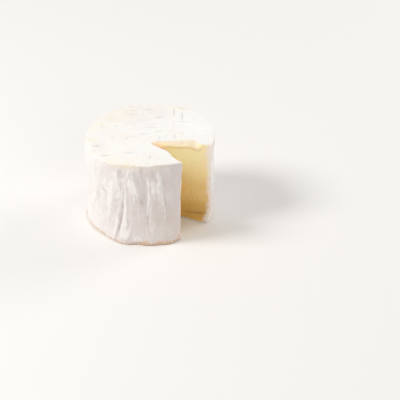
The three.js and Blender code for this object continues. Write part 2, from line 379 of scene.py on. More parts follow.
# Tints of the two cut faces. The glow is the warm light in the corner where the faces meet.
NEAR_TINT_FROM = (1, 6)
GLOW_TO = (5, 12)
GLOW_LEVELS = (30, 46)
TORN_SOFT = 0.8
TORN_TO = (27, 31)
TORN_DULLS_GLOW = 0.7
LIP_TINT_RISE = 0.7
LIP_TINT_TALL = 0.8
LIP_TINT_FROM = (22, 27)
# Painted shade lines: in the crease under the ledge's lip and in the crease over the foot
UNDER_LEDGE_DROP = 0.7
UNDER_LEDGE_TALL = 0.8
UNDER_LEDGE_FROM = (7, 11)
UNDER_LEDGE_SHADE = 0.4
FOOT_LINE_LEVEL = 5.1
FOOT_LINE_TALL = 0.5
FOOT_LINE_FROM = (17, 22)
SHADE_LINES_TO = (30, 33)

# How far off a cut face its relief fades, how far behind the corner a face may still be the nearer
# one, and the levels in which the relief fades out and the underside is kept flat
CUT_RELIEF_OFF = (0.8, 1.6)
CUT_BEHIND = -0.5
RELIEF_LEVELS = (0.3, 2.0)
FLAT_LEVELS = (0.1, 0.3)

# What the finishes read from the surface
NOTES = ("skin", "bloom_and_light", "bare", "dent", "torn", "crease", "paste_depth", "topside",
         "groove_and_shade", "yellowed", "dusky", "blanched", "lip", "glow", "near")

# The places of the cutter's outline, and the order of the wheel's two materials
CORNER, NEAR, FAR = range(3)
RIND_FINISH, PASTE_FINISH = range(2)


def bell(distance, spread):
    return math.exp(-((distance / spread) ** 2))


def reach(value, low, high):
    """0 below low, 1 above high and smooth between them."""
    share = min(max((value - low) / (high - low), 0.0), 1.0)
    return share * share * (3 - 2 * share)


def turn_between(angle, other):
    """The signed turn from one direction to another, by the shorter way."""
    return (angle - other + 540) % 360 - 180


def heading(angle):
    return Vector((math.cos(math.radians(angle)), math.sin(math.radians(angle))))


def polar(point):
    """How far a point is from the wheel's axis, and in which direction."""
    return math.hypot(point.x, point.y), math.degrees(math.atan2(point.y, point.x))


def arc(angle):
    """The length along the wall from +X to a direction."""
    return math.radians(angle) * WHEEL_RADIUS


def pattern(kind, along, up):
    """A slow random value of one kind at a place of a surface."""
    across, tall, place, much = kind
    return much * noise.noise(Vector((along / across, up / tall, place)))


def numbers_from(seed):
    """A repeatable stream of numbers from 0 to 1."""
    multiplier, increment, span = 1664525, 1013904223, 4294967296
    state = seed
    while True:
        state = (state * multiplier + increment) % span
        yield state / span


def between(draw, low, high):
    return low + (high - low) * next(draw)


def draw_folds():
    draw = numbers_from(SEED)
    folds = []
    for i in range(DRAWN_FOLDS):
        angle = DRAWN_START + DRAWN_TURN * (i + next(draw)) / DRAWN_FOLDS
        upper = between(draw, *DRAWN_UPPER)
        lower = max(LOWEST_FOLD, upper - between(draw, *DRAWN_LENGTH))
        lean = between(draw, *DRAWN_LEAN) * (upper - lower)
        left = between(draw, *DRAWN_FLANK)
        right = between(draw, *DRAWN_FLANK)
        out = between(draw, *DRAWN_OUT) * (-1 if next(draw) < DRAWN_FURROWS else 1)
        folds.append((angle, upper, angle + lean, lower, left, right, out))
    return folds


def draw_marks():
    """More dents of the same mat, on its two crossing directions."""
    draw = numbers_from(MARK_SEED)
    marks = []
    for i in range(DRAWN_MARKS):
        x = between(draw, *MARK_PLACE)
        y = between(draw, *MARK_PLACE)
        long = between(draw, *MARK_LONG)
        deep = between(draw, *MARK_DEEP)
        if i % 3:
            marks.append((x, y, long, MARK_WIDE, deep))
        else:
            marks.append((x, y, MARK_WIDE, long, deep))
    return marks


def folds_by_degree(folds):
    """For each whole degree, the folds that come near it."""
    near = {degree: [] for degree in range(-180, 180)}
    for fold in folds:
        wide = math.degrees(FOLD_NEAR * max(fold[4], fold[5]) / WHEEL_RADIUS) + 1
        low = min(fold[0], fold[2]) - wide
        high = max(fold[0], fold[2]) + wide
        for degree in range(math.floor(low), math.ceil(high) + 1):
            near[(degree + 180) % 360 - 180].append(fold)
    return near


FOLDS_NEAR = folds_by_degree(FOLDS + draw_folds())
TONGUES_NEAR = folds_by_degree(TONGUES)
CREASES_NEAR = folds_by_degree(CREASES)
MARKS = MAT_MARKS + draw_marks()


def fold_lift(fold, angle, level):
    """How far one fold lifts the wall at a place, fading out past its two ends."""
    upper_angle, upper, lower_angle, lower, left, right, out = fold
    length = max(upper - lower, 1)
    share = (upper - level) / length
    run = min(max(share, 0.0), 1.0)
    past = abs(share - run) * length
    middle = upper_angle + turn_between(lower_angle, upper_angle) * run
    across = arc(turn_between(angle, middle))
    ends = math.sin(math.pi * min(max(run, FOLD_ENDS), 1 - FOLD_ENDS))
    return out * bell(across, left if across < 0 else right) * bell(past, FOLD_FADE) * ends


def lift_of(near, angle, level):
    degree = (math.floor(angle) + 180) % 360 - 180
    return sum(fold_lift(fold, angle, level) for fold in near[degree])


def fold_height(angle, level):
    return lift_of(FOLDS_NEAR, angle, level)


def patches_at(patches, angle, level):
    """How much a list of soft patches of the wall adds up to at a place."""
    return sum(much * bell(turn_between(angle, at), turn) * bell(level - middle, rise)
               for at, middle, turn, rise, much in patches)


def spots_at(spots, x, y):
    """The same for round spots of the top face."""
    return sum(much * bell(math.hypot(x - at_x, y - at_y), spread) for at_x, at_y, spread, much in spots)


def wall_shift(angle, level):
    """How far the wall stands out from its mean radius."""
    lean = LEAN * math.cos(math.radians(angle - LEAN_HEADING)) * (level / WHEEL_HEIGHT)
    lobes = LOBE_OUT * math.cos(math.radians(LOBES * (angle + LOBE_TURN)))
    return lean + lobes + patches_at(WALL_SWELLS, angle, level) + fold_height(angle, level)


def top_shift(x, y):
    """How far the top face stands above its mean height."""
    return spots_at(TOP_SWELLS, x, y)


def rim_slump(angle, from_rim):
    soft = RIM_SLUMP + SLUMPED_MORE * bell(turn_between(angle, SLUMPED_HEADING), SLUMPED_TURN)
    ragged = sum(size * math.sin(math.radians(count * angle) + phase) for count, phase, size in RIM_WAVES)
    return (soft + ragged) * bell(from_rim, RIM_SLUMP_WIDE)


def unevenness(radius, level):
    """How much of the wall's and of the top's shift a place inside the wheel takes, each 0 to 1."""
    outward = reach(radius, 0.5 * WHEEL_RADIUS, WHEEL_RADIUS - FOOT_ROUND)
    upward = reach(level, FOOT_ROUND, WHEEL_HEIGHT - RIM_ROUND)
    return outward, upward


def uneven_wheel(point):
    """Moves a point of the plain turned wheel to its place on the real, uneven one."""
    radius, angle = polar(point)
    outward, upward = unevenness(radius, point.z)
    slump = rim_slump(angle, math.hypot(WHEEL_RADIUS - radius, WHEEL_HEIGHT - point.z))
    scale = (radius + wall_shift(angle, point.z) * outward - slump) / radius if radius > 0 else 1
    level = point.z + top_shift(point.x, point.y) * upward - slump
    return Vector((point.x * scale, point.y * scale, level))


def depth_inside(point):
    """How far a point is beneath the uncut wheel's wall, top and underside, one by one and at the
    nearest place of the rounded section."""
    radius, angle = polar(point)
    outward, upward = unevenness(radius, point.z)
    plain_radius = radius - wall_shift(angle, point.z) * outward
    plain_level = point.z - top_shift(point.x, point.y) * upward
    slump = 0.0
    for _ in range(SLUMP_ROUNDS):
        from_rim = math.hypot(WHEEL_RADIUS - plain_radius - slump, WHEEL_HEIGHT - plain_level - slump)
        slump = rim_slump(angle, from_rim)
    wall = WHEEL_RADIUS - plain_radius - slump
    top = WHEEL_HEIGHT - plain_level - slump
    foot = point.z
    nearest = min(wall, top, foot)
    for depth, rounding in ((top, RIM_ROUND), (foot, FOOT_ROUND)):
        if wall < rounding and depth < rounding:
            nearest = min(nearest, rounding - math.hypot(rounding - wall, rounding - depth))
    return angle, wall, top, foot, nearest


def waves_at(waves, along, level):
    wave = sum(out * math.sin(along / across + phase + level / tall) for across, phase, tall, out in waves)
    return wave * reach(along, *WAVES_FROM)


def crease_level(along):
    """The level of the crease under the torn ledge. It dips, then climbs to meet the top rind."""
    dip = sum(drop * reach(along, low, high) for low, high, drop in CREASE_DIPS)
    low, high, climb = CREASE_CLIMB
    return LEDGE_LEVEL - dip + climb * reach(along, low, high)


def far_face_bulge(along, level):
    """How far the far face of the cut bulges into the opening. Near the top the rind has torn
    away to a sloping ledge with a lip, and at the bottom the soft foot has spread."""
    crease = crease_level(along)
    ledge = LEDGE_DEPTH * reach(along, *LEDGE_FROM) * (1 - reach(along, *LEDGE_TO))
    share = min(max((level - crease) / (LEDGE_TOP - crease), 0.0), LEDGE_MOST)
    lip = LIP_OUT * bell(level - crease - LIP_RISE, LIP_TALL)
    lip *= reach(along, *LIP_FROM) * (1 - reach(along, *LIP_TO))
    foot = FAR_FOOT_OUT * reach(along, *FAR_FOOT_FROM) * (1 - reach(level, *FAR_FOOT_LEVELS))
    hollow = FAR_HOLLOW * bell(along - FAR_HOLLOW_AT, FAR_HOLLOW_WIDE)
    hollow *= 1 - reach(level, *FAR_HOLLOW_LEVELS)
    return lip - ledge * share + foot + hollow + waves_at(FAR_WAVES, along, level)


def near_face_bulge(along, level):
    """The same for the near face, which leans back towards the bottom and has a small foot."""
    lean = NEAR_LEAN * (along / CUT_FACE_LENGTH) * (1 - level / WHEEL_HEIGHT) ** NEAR_LEAN_POWER
    foot = NEAR_FOOT_OUT * reach(along, *NEAR_FOOT_FROM) * bell(level - NEAR_FOOT_LEVEL, NEAR_FOOT_TALL)
    top_edge = sum(out * bell(along - at, spread) for at, spread, out in NEAR_EDGE_SWELLS)
    top_edge *= reach(level, *NEAR_EDGE_LEVELS)
    return lean + foot + top_edge + waves_at(NEAR_WAVES, along, level)


def wheel_profile():
    """The half section's points, from the middle of the underside to the middle of the top."""
    foot_x = WHEEL_RADIUS - FOOT_ROUND
    rim_x, rim_z = WHEEL_RADIUS - RIM_ROUND, WHEEL_HEIGHT - RIM_ROUND
    points = []

    def line(x0, z0, x1, z1, step):
        count = max(1, round(math.hypot(x1 - x0, z1 - z0) / step))
        for i in range(count):
            points.append((x0 + (x1 - x0) * i / count, z0 + (z1 - z0) * i / count))

    def quarter(x, z, radius, start):
        for i in range(ROUND_STEPS):
            turn = math.radians(start + 90 * i / ROUND_STEPS)
            points.append((x + radius * math.cos(turn), z + radius * math.sin(turn)))

    line(0, 0, foot_x, 0, UNDERSIDE_STEP)
    quarter(foot_x, FOOT_ROUND, FOOT_ROUND, -90)
    line(WHEEL_RADIUS, FOOT_ROUND, WHEEL_RADIUS, rim_z, PROFILE_STEP)
    quarter(rim_x, rim_z, RIM_ROUND, 0)
    line(rim_x, WHEEL_HEIGHT, 0, WHEEL_HEIGHT, TOP_STEP)
    points.append((0, WHEEL_HEIGHT))
    return points


def mesh_object(name, bm):
    bmesh.ops.recalc_face_normals(bm, faces=bm.faces)
    mesh = bpy.data.meshes.new(name)
    bm.to_mesh(mesh)
    bm.free()
    made = bpy.data.objects.new(name, mesh)
    bpy.context.scene.collection.objects.link(made)
    return made


def turned_wheel():
    bm = bmesh.new()
    verts = [bm.verts.new((x, 0, z)) for x, z in wheel_profile()]
    edges = [bm.edges.new(pair) for pair in zip(verts, verts[1:])]
    bmesh.ops.spin(bm, geom=verts + edges, cent=(0, 0, 0), axis=(0, 0, 1), dvec=(0, 0, 0),
                   angle=math.tau, steps=TURN_STEPS, use_merge=True, use_duplicate=False)
    bmesh.ops.remove_doubles(bm, verts=bm.verts, dist=MERGE_DISTANCE)
    for vert in bm.verts:
        vert.co = uneven_wheel(vert.co)
    return mesh_object("whole_wheel", bm)


def wedge_cutter():
    """What the knife takes out: a level outline raised in steps, both faces then shaped."""
    far, near = heading(FAR_HEADING), heading(NEAR_HEADING)
    count = round(CUT_FACE_LENGTH / CUT_STEP)
    alongs = [CUT_FACE_LENGTH * i / count for i in range(1, count + 1)] + [CUT_REACH]
    outline = [(CUT_APEX, CORNER, 0.0)]
    outline += [(CUT_APEX + near * along, NEAR, along) for along in alongs]
    outline += [(CUT_APEX + far * along, FAR, along) for along in reversed(alongs)]
    tall = WHEEL_HEIGHT + 2 * CUT_OVERRUN
    levels = round(tall / CUT_STEP)

    bm = bmesh.new()
    side = bm.verts.layers.int.new("side")
    run = bm.verts.layers.float.new("along")
    verts = []
    for point, face, along in outline:
        vert = bm.verts.new((point.x, point.y, -CUT_OVERRUN))
        vert[side] = face
        vert[run] = min(along, CUT_FACE_LENGTH)
        verts.append(vert)
    cap = bm.faces.new(verts)
    for i in range(levels):
        raised = bmesh.ops.extrude_face_region(bm, geom=[cap])
        if i > 0:
            bmesh.ops.delete(bm, geom=[cap], context="FACES_ONLY")
        cap = next(item for item in raised["geom"] if isinstance(item, bmesh.types.BMFace))
        bmesh.ops.translate(bm, verts=cap.verts, vec=(0, 0, tall / levels))
    far_inward, near_inward = heading(FAR_HEADING - 90), heading(NEAR_HEADING + 90)
    for vert in bm.verts:
        level = min(max(vert.co.z, 0.0), WHEEL_HEIGHT)
        if vert[side] == FAR:
            vert.co.xy += far_inward * far_face_bulge(vert[run], level)
        elif vert[side] == NEAR:
            vert.co.xy += near_inward * near_face_bulge(vert[run], level)
    return mesh_object("cutter", bm)


def cut_and_grained(wheel, cutter):
    """Takes the wedge out and rebuilds the surface in even little squares."""
    cut = wheel.modifiers.new("cut", "BOOLEAN")
    cut.operation = "DIFFERENCE"
    cut.solver = "EXACT"
    cut.object = cutter
    even = wheel.modifiers.new("even", "REMESH")
    even.mode = "VOXEL"
    even.voxel_size = GRAIN_SIZE
    even.use_smooth_shade = True
    bpy.context.view_layer.update()
    seen = wheel.evaluated_get(bpy.context.evaluated_depsgraph_get())
    mesh = bpy.data.meshes.new_from_object(seen)
    bpy.data.objects.remove(wheel)
    bpy.data.objects.remove(cutter)
    return mesh


def in_front(angle):
    """1 on the front of the wall and 0 on the rest, smooth between."""
    return 1 - reach(abs(turn_between(angle, FRONT_HEADING)), *FRONT_EDGE)


def bloom_patch(angle, level):
    """Where the white bloom has grown thick: upright tongues, listed for the front, and
    elsewhere mostly on the folds, below a ragged edge near the rim."""
    along = arc(angle)
    ragged = pattern(RAGGED, along, level)
    front = in_front(angle)
    placed = 0.0
    if front > 0:
        placed = reach(lift_of(TONGUES_NEAR, angle, level) + TONGUE_RAGGED * ragged, *TONGUE_EDGE)
    edge = BLOOM_TOP + pattern(BLOOM_TOP_WANDER, along, BLOOM_TOP_ROW)
    raised = min(max(fold_height(angle, level), -1.0), 1.0)
    grown = pattern(TONGUE, along, level) + GROWN_RAGGED * ragged + GROWN_ON_FOLDS * raised
    grown = reach(grown, *GROWN_EDGE)
    grown *= 1 - THINNER_ABOVE * reach(level, edge - BLOOM_TOP_SOFT, edge + BLOOM_TOP_SOFT)
    return placed * front + grown * (1 - front)


def bloom_and_lit_side(angle, level):
    """How white the wall is: where the bloom is thick, and all over the side towards the window lamp,
    which is painted light.
    """
    lit_side = bell(turn_between(angle, LIT_SIDE_HEADING), LIT_SIDE_TURN)
    return max(bloom_patch(angle, level), min(LIT_SIDE_MUCH * lit_side, 1.0))


def groove_and_shade(angle, level):
    """How deep in a narrow crease between the folds a place of the wall lies, from 0 to 1. It also
    darkens the rind's colour there, as painted shade.
    """
    along = arc(angle)
    cracked = 1 - reach(abs(pattern(CRACK, along, level)), *CRACK_WIDE)
    fine = reach(pattern(FINE_CREASE, along, level), *CRACKED_WHERE)
    folded = FURROW_DARK * reach(-fold_height(angle, level), *FURROW_EDGE)
    drawn = (folded + CRACK_DARK * fine * cracked) * (1 - in_front(angle))
    return min(drawn + lift_of(CREASES_NEAR, angle, level), 1.0)


def tint(spots, x, y):
    """How much of one tint the top has at a place, in broken patches."""
    broken = TINT_MEAN + pattern(TINT_BREAKS, x, y)
    return min(max(spots_at(spots, x, y) * broken, 0.0), 1.0)


def wall_relief(angle, level):
    along = arc(angle)
    wrinkle = 1 - abs(pattern(WRINKLE, along, level))
    folds = WRINKLE_OUT * max(wrinkle, 0) ** 3 - WALL_INWARD
    folds += sum(pattern(kind, along, level) for kind in WALL_GRAIN)
    return folds + BLOOM_OUT * bloom_patch(angle, level) - GROOVE_DEEP * groove_and_shade(angle, level)


def top_relief(x, y):
    return sum(pattern(kind, x, y) for kind in TOP_GRAIN) - mat_dent(x, y) - TOP_INWARD


def mat_dent(x, y):
    dent = 0.0
    for at_x, at_y, half_x, half_y, depth in MARKS:
        if abs(x - at_x) < MARK_NEAR * half_x and abs(y - at_y) < MARK_NEAR * half_y:
            dent += depth * bell(x - at_x, half_x) ** 2 * bell(y - at_y, half_y)
    return dent


def cut_relief(along, level):
    """The drag of the knife down the paste, its slight steps and crumb, and its small pits."""
    pit = max(pattern(PITS, along, level) - PIT_LEAST, 0)
    return sum(pattern(kind, along, level) for kind in CUT_GRAIN) - PIT_DEEP * pit


def foot_tan(angle, level):
    """The tan line at the foot, uneven, and widest under the front."""
    front = bell(turn_between(angle, FOOT_TAN_HEADING), FOOT_TAN_TURN)
    tall = FOOT_TAN_TALL + FOOT_TAN_TALLER * front
    tall *= 1 + pattern(FOOT_TAN_BREAKS, arc(angle), FOOT_TAN_ROW)
    return (FOOT_TAN_DARK + FOOT_TAN_DARKER * front) * (1 - reach(level, FOOT_TAN_SOLID * tall, tall))


def rim_tan(angle, level, top, wall):
    """The tan at the rim: faint all round, and in a narrow line in a few places."""
    faint = RIM_BARE * bell(level - RIM_BARE_LEVEL, RIM_BARE_TALL)
    faint *= reach(pattern(RIM_BREAKS, arc(angle), level), *RIM_BARE_EDGE)
    line = sum(much * bell(turn_between(angle, at), turn) for at, turn, much in RIM_TANS)
    line *= bell(top - RIM_LINE_DEPTH, RIM_LINE_TALL) * (1 - reach(wall, *RIM_LINE_IN))
    return faint + line


def bare_skin(point, angle, top, wall):
    """How much of the tan skin shows through the bloom."""
    bare = patches_at(BARE_PATCHES, angle, point.z)
    bare += rim_tan(angle, point.z, top, wall) + foot_tan(angle, point.z)
    speckle = SPECKLE_MEAN + SPECKLE_SWING * noise.noise(point / SPECKLE_SIZE)
    return min(max(bare * speckle, 0.0), 1.0) * (1 - reach(wall, *BARE_IN))


def on_cut(point):
    """Which face of the cut a point is nearer to, the distance along it and how far the point is
    from it."""
    offset = Vector((point.x, point.y)) - CUT_APEX
    level = min(max(point.z, 0.0), WHEEL_HEIGHT)
    best = (FAR, 0.0, math.inf)
    for face, angle, turn, bulge in ((FAR, FAR_HEADING, -90, far_face_bulge),
                                     (NEAR, NEAR_HEADING, 90, near_face_bulge)):
        along = offset.dot(heading(angle))
        if along < CUT_BEHIND:
            continue
        held = min(max(along, 0.0), CUT_FACE_LENGTH)
        away = abs(offset.dot(heading(angle + turn)) - bulge(held, level))
        if away < best[2]:
            best = (face, held, away)
    return best


def rind_on_cut(point, wall, top, foot):
    """How much of the rind's colour a place on a cut face has, by its depth in the wheel."""
    low, high, more = THICKER_HIGH
    wall_rind = WALL_RIND + more * reach(point.z, low, high)
    low, high, more = THICKER_LOW
    wall_rind += more * (1 - reach(point.z, low, high))
    breaks = Vector(value / size for value, size in zip(point, RIND_BREAK_SIZE))
    share = min(wall / wall_rind, top / TOP_RIND, foot / FOOT_RIND)
    return 1 - reach(share + RIND_BREAKS * noise.noise(breaks), *RIND_EDGE)


def cut_notes(point, face, along):
    """The tints of a cut face: the glow near the corner, and on the far face the torn ledge, its
    lip and the painted shade lines in the creases under the ledge and over the foot."""
    glow = (1 - reach(along, *GLOW_TO)) * reach(point.z, *GLOW_LEVELS)
    if face == NEAR:
        return {"near": reach(along, *NEAR_TINT_FROM), "glow": glow}
    above = point.z - crease_level(along)
    torn = reach(above, 0, TORN_SOFT) * (1 - reach(along, *TORN_TO))
    lip = max(bell(above - LIP_TINT_RISE, LIP_TINT_TALL), reach(along, *LIP_TINT_FROM))
    under = bell(above + UNDER_LEDGE_DROP, UNDER_LEDGE_TALL) * reach(along, *UNDER_LEDGE_FROM)
    foot_shade_line = bell(point.z - FOOT_LINE_LEVEL, FOOT_LINE_TALL) * reach(along, *FOOT_LINE_FROM)
    # Painted shade in the creases under the ledge and over the foot
    lines = (UNDER_LEDGE_SHADE * under + foot_shade_line) * (1 - reach(along, *SHADE_LINES_TO))
    return {"torn": torn, "lip": torn * lip, "crease": lines, "glow": glow * (1 - TORN_DULLS_GLOW * torn)}


def notes_and_move(point, normal):
    """What the finishes need to know of one place, and how far its fine relief moves it."""
    angle, wall, top, foot, nearest = depth_inside(point)
    face, along, away = on_cut(point)
    upright = 1 - reach(abs(normal.z), *LYING)
    level_up = reach(normal.z, *LYING)
    high = reach(point.z, *TINT_LEVELS)
    notes = {
        "skin": rind_on_cut(point, wall, top, foot),
        "paste_depth": max(nearest, 0.0),
        # Thick bloom, and the painted light of the side towards the window lamp
        "bloom_and_light": bloom_and_lit_side(angle, point.z) * upright,
        "groove_and_shade": groove_and_shade(angle, point.z) * upright,
        "bare": bare_skin(point, angle, top, wall),
        "dent": min(mat_dent(point.x, point.y) * MARK_DARK, 1.0) * level_up,
        "topside": level_up,
        "yellowed": tint(YELLOWED, point.x, point.y) * high,
        "dusky": tint(DUSKY, point.x, point.y) * high * level_up,
        "blanched": tint(BLANCHED, point.x, point.y) * high * level_up,
        **cut_notes(point, face, along),
    }
    inside = reach(nearest, *PASTE_BLEND)
    outer = wall_relief(angle, point.z) * upright + top_relief(point.x, point.y) * level_up
    inner = cut_relief(along, point.z) * (1 - reach(away, *CUT_RELIEF_OFF))
    return notes, normal * (outer * (1 - inside) + inner * inside)


def finish_surface(mesh):
    """Gives the even mesh its notes, its fine relief and its two finishes, and scales it to metres."""
    bm = bmesh.new()
    bm.from_mesh(mesh)
    bmesh.ops.smooth_vert(bm, verts=bm.verts, factor=SMOOTHING,
                          use_axis_x=True, use_axis_y=True, use_axis_z=True)
    bm.normal_update()
    layers = {name: bm.verts.layers.float.new(name) for name in NOTES}
    moves = []
    for vert in bm.verts:
        notes, move = notes_and_move(vert.co, vert.normal)
        for name, value in notes.items():
            vert[layers[name]] = value
        moves.append(move)

    for vert, move in zip(bm.verts, moves):
        vert.co += move * reach(vert.co.z, *RELIEF_LEVELS)
        if vert.co.z < FLAT_LEVELS[1]:
            vert.co.z = max(vert.co.z, 0.0) * reach(vert.co.z, *FLAT_LEVELS)
    depth = layers["paste_depth"]
    for face in bm.faces:
        face.smooth = True
        mean = sum(vert[depth] for vert in face.verts) / len(face.verts)
        face.material_index = PASTE_FINISH if mean > PASTE_FROM else RIND_FINISH
    bmesh.ops.scale(bm, verts=bm.verts, vec=(MM, MM, MM))
    bm.to_mesh(mesh)
    bm.free()
    return mesh


# Finishes. Sizes in them are in metres.

# The rind: thin and thick bloom on the wall, the tints of the top, and what shows through. A colour
# with a number before it is laid on by that share at most.
# The thin bloom's lilac grey is partly the rind's own colour and partly painted shade of the upright wall
THIN_BLOOM_AND_SHADE = ((0.77, 0.697, 0.682), (0.825, 0.765, 0.75))
THICK_BLOOM = (0.88, 0.843, 0.828)
# Painted shade in the creases, furrows and pits of the wall
SHADE_IN_GROOVES = (0.7, (0.55, 0.49, 0.46))
TOP_WHITE = (0.95, 0.93, 0.9)
TOP_CREAM = (0.55, (0.95, 0.91, 0.8))
TOP_DUSKY = (0.885, 0.835, 0.815)
TOP_BLANCHED = (0.985, 0.98, 0.96)
TOP_YELLOWED = (0.8, (0.92, 0.885, 0.71))
FLECK = (0.12, (0.74, 0.68, 0.6))
IN_DENTS = (0.75, (0.63, 0.605, 0.565))
TAN_SKIN = ((0.68, 0.43, 0.24), (0.81, 0.66, 0.49))
TAN_LEVELS = (0.001, 0.006)
TAN_SHARE = 0.8
RIND_BUMP = 0.7
RIND_ROUGHNESS = (0.82, 0.98)
RIND_SETTINGS = {
    "Sheen Weight": 0.15,
    "Sheen Roughness": 0.6,
    "Specular IOR Level": 0.25,
    "Subsurface Weight": 0.25,
    "Subsurface Radius": (1.0, 0.8, 0.6),
    "Subsurface Scale": 0.0015,
}

# The paste, from its foot to its top, and the tints of the cut faces. Its darkening from pale yellow
#  at the top to brown-gold low down is partly a deeper ripening and partly painted shade in the cut,
#  warmed as painted light bounced from below; the near face's tint softens it there.
PASTE_LOW_AND_SHADE = ((0.595, 0.32, 0.045), (0.81, 0.58, 0.225))
PASTE_LOW_LEVELS = (0.0, 0.022)
PASTE_HIGH = (0.99, 0.87, 0.52)
PASTE_HIGH_LEVELS = (0.02, 0.05)
PASTE_CLOUD = (0.14, (0.97, 0.82, 0.5))
PASTE_FOOT = (0.68, 0.43, 0.13)
PASTE_FOOT_LEVELS = (0.003, 0.0065)
PASTE_NEAR = (0.4, (0.93, 0.76, 0.42))
PASTE_FRINGE = (0.93, 0.76, 0.5)
FRINGE_DEPTHS = (9.0, 3.0)
FRINGE_LEVELS = (0.02, 0.045)
FRINGE_SHARE = 0.3
RIND_EDGE_TINT = (0.89, 0.81, 0.76)
TORN_TINT = (0.98, 0.84, 0.64)
LIP_TINT = (0.45, (0.93, 0.75, 0.63))
GLOW_TINT = (0.85, (1.0, 0.74, 0.49))
# Painted shade in the creases under the ledge and over the foot
CREASE_SHADE_TINT = (0.7, (0.4, 0.2, 0.03))
PASTE_BUMP = 0.6
PASTE_ROUGHNESS = (0.38, 0.62)
PASTE_SETTINGS = {
    "Specular IOR Level": 0.4,
    "Subsurface Weight": 0.6,
    "Subsurface Radius": (1.0, 0.65, 0.3),
    "Subsurface Scale": 0.004,
}


def node_group(name, inputs, outputs):
    group = bpy.data.node_groups.new(name, "ShaderNodeTree")
    for label, kind, default in inputs:
        socket = group.interface.new_socket(label, in_out="INPUT", socket_type=kind)
        if default is not None:
            socket.default_value = default
    for label, kind in outputs:
        group.interface.new_socket(label, in_out="OUTPUT", socket_type=kind)
    return group, group.nodes.new("NodeGroupInput"), group.nodes.new("NodeGroupOutput")


def feed(tree, socket, value):
    """Gives a socket a number, a colour or what another node puts out."""
    if isinstance(value, bpy.types.NodeSocket):
        tree.links.new(value, socket)
    elif isinstance(value, tuple):
        socket.default_value = (*value, 1)
    else:
        socket.default_value = value


def noise_node(tree, vector, scale, detail, roughness=0.55):
    made = tree.nodes.new("ShaderNodeTexNoise")
    made.inputs["Detail"].default_value = detail
    made.inputs["Roughness"].default_value = roughness
    feed(tree, made.inputs["Vector"], vector)
    feed(tree, made.inputs["Scale"], scale)
    return made.outputs["Fac"]


def spread(tree, value, low, high):
    """Maps a value from low..high to 0..1, smoothly."""
    made = tree.nodes.new("ShaderNodeMapRange")
    made.interpolation_type = "SMOOTHSTEP"
    feed(tree, made.inputs["Value"], value)
    feed(tree, made.inputs["From Min"], low)
    feed(tree, made.inputs["From Max"], high)
    return made.outputs["Result"]


def math_node(tree, operation, first, second):
    made = tree.nodes.new("ShaderNodeMath")
    made.operation = operation
    feed(tree, made.inputs[0], first)
    feed(tree, made.inputs[1], second)
    return made.outputs["Value"]


def mixed(tree, factor, first, second):
    """Goes from one colour to another as the factor goes from 0 to 1."""
    made = tree.nodes.new("ShaderNodeMix")
    made.data_type = "RGBA"
    sockets = {socket.identifier: socket for socket in made.inputs}
    feed(tree, sockets["Factor_Float"], factor)
    feed(tree, sockets["A_Color"], first)
    feed(tree, sockets["B_Color"], second)
    return made.outputs[2]


def laid_over(tree, under, mask, share, over):
    """Lays a colour over another where the mask says, at most by the given share."""
    return mixed(tree, math_node(tree, "MULTIPLY", mask, share), under, over)


def make_mottle():
    """Soft cloudy patches: 0 to 1 over the surface, where the cloud passes Low and then High."""
    group, given, result = node_group(
        "mottle",
        [("Position", "NodeSocketVector", None), ("Scale", "NodeSocketFloat", 120.0),
         ("Low", "NodeSocketFloat", 0.45), ("High", "NodeSocketFloat", 0.65)],
        [("Patches", "NodeSocketFloat")])
    cloud = noise_node(group, given.outputs["Position"], given.outputs["Scale"], 4.0)
    patches = spread(group, cloud, given.outputs["Low"], given.outputs["High"])
    feed(group, result.inputs["Patches"], patches)
    return group


def make_felt():
    """A fine nap or grain: its pile from 0 to 1, and the same as a height in metres."""
    group, given, result = node_group(
        "felt",
        [("Position", "NodeSocketVector", None), ("Scale", "NodeSocketFloat", 900.0),
         ("Height", "NodeSocketFloat", 0.0001)],
        [("Height", "NodeSocketFloat"), ("Pile", "NodeSocketFloat")])
    pile = noise_node(group, given.outputs["Position"], given.outputs["Scale"], 5.0, 0.65)
    feed(group, result.inputs["Pile"], pile)
    feed(group, result.inputs["Height"], math_node(group, "MULTIPLY", pile, given.outputs["Height"]))
    return group


def new_material(name, color):
    material = bpy.data.materials.new(name)
    material.use_nodes = True
    material.diffuse_color = (*color, 1)
    tree = material.node_tree
    position = tree.nodes.new("ShaderNodeTexCoord").outputs["Object"]
    return material, tree, tree.nodes["Principled BSDF"], position


def group_node(tree, group, position, **values):
    made = tree.nodes.new("ShaderNodeGroup")
    made.node_tree = group
    feed(tree, made.inputs["Position"], position)
    for label, value in values.items():
        made.inputs[label].default_value = value
    return made


def attribute(tree, name):
    made = tree.nodes.new("ShaderNodeAttribute")
    made.attribute_name = name
    return made.outputs["Fac"]


def level_of(tree, position):
    made = tree.nodes.new("ShaderNodeSeparateXYZ")
    feed(tree, made.inputs[0], position)
    return made.outputs["Z"]


def surface_of(tree, shader, color, felts, strength):
    """Gives a shader its colour and the bump of two felts together."""
    feed(tree, shader.inputs["Base Color"], color)
    first, second = felts
    made = tree.nodes.new("ShaderNodeBump")
    made.inputs["Strength"].default_value = strength
    made.inputs["Distance"].default_value = 1.0
    feed(tree, made.inputs["Height"],
         math_node(tree, "ADD", first.outputs["Height"], second.outputs["Height"]))
    feed(tree, shader.inputs["Normal"], made.outputs["Normal"])


def gloss_of(tree, shader, pile, roughness, settings):
    """Lets the roughness follow a pile between two values, and sets what is even all over."""
    rough = tree.nodes.new("ShaderNodeMapRange")
    feed(tree, rough.inputs["Value"], pile)
    rough.inputs["To Min"].default_value = roughness[0]
    rough.inputs["To Max"].default_value = roughness[1]
    feed(tree, shader.inputs["Roughness"], rough.outputs["Result"])
    for label, value in settings.items():
        shader.inputs[label].default_value = value


